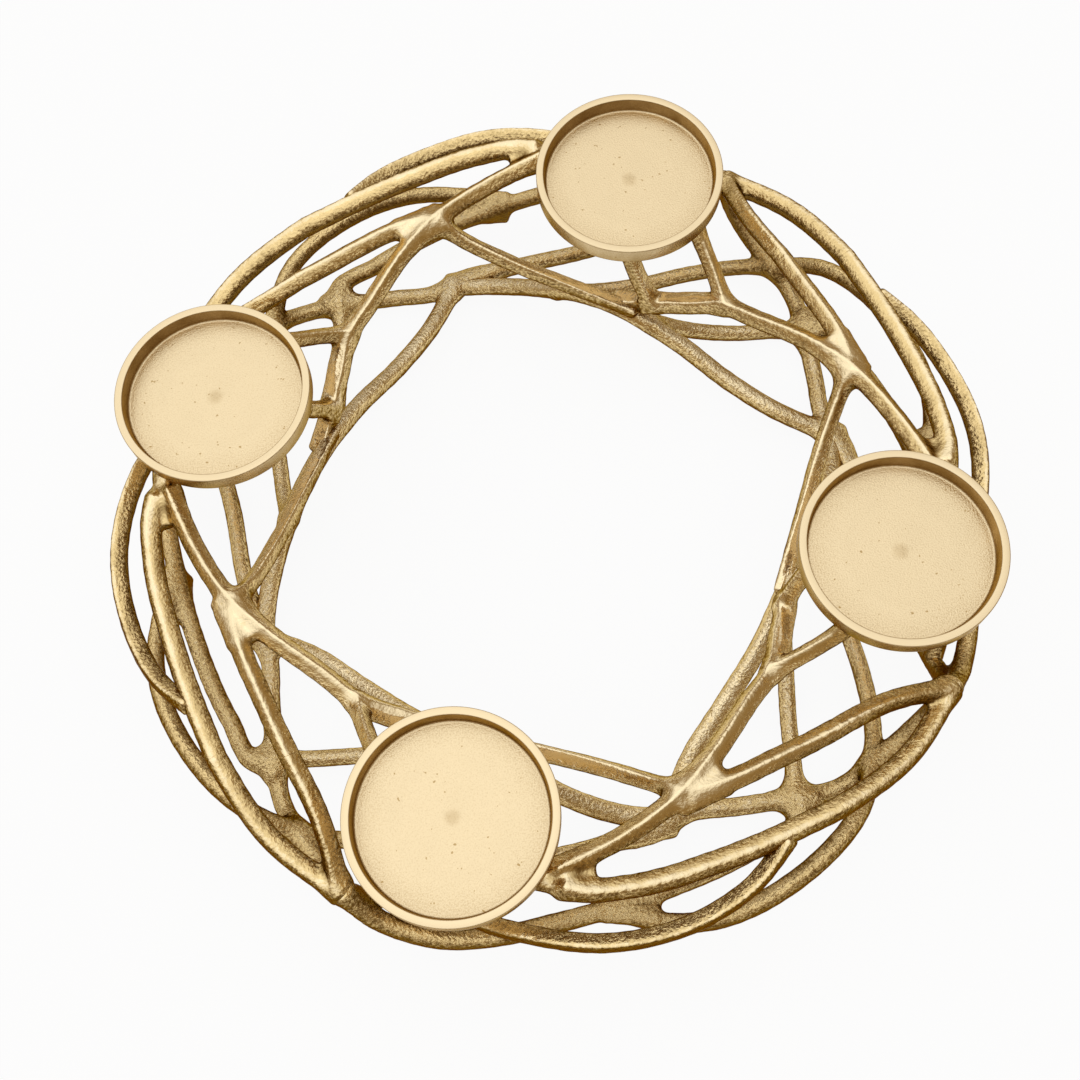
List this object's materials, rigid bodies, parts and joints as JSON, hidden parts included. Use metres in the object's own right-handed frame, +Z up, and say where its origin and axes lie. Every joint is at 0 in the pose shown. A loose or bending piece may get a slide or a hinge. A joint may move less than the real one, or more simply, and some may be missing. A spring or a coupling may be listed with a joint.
{
  "type": "advent candle holder",
  "caption": "Round openwork wreath of cast, welded branches that stands on a table and carries shallow round cups for pillar candles along its top.",
  "frame": {"origin": "on the table, at the centre of the wreath", "axes": "+Z up, -Y towards the viewer of the picture"},
  "size_m": [0.4146, 0.4146, 0.092],
  "materials": {
    "gold_branches": "cast aluminium with a rough gold finish",
    "gold_cups": "sand-cast aluminium with a satin gold finish"
  },
  "bodies": {
    "root": {"upper_branches_front": "gold_branches", "upper_branches_right": "gold_branches", "upper_branches_back": "gold_branches", "upper_branches_left": "gold_branches", "lower_branches_front": "gold_branches", "lower_branches_right": "gold_branches", "lower_branches_back": "gold_branches", "lower_branches_left": "gold_branches", "side_band_front": "gold_branches", "side_band_right": "gold_branches", "side_band_back": "gold_branches", "side_band_left": "gold_branches", "candle_cup_front": "gold_cups", "candle_cup_right": "gold_cups", "candle_cup_back": "gold_cups", "candle_cup_left": "gold_cups"}
  },
  "joints": []
}
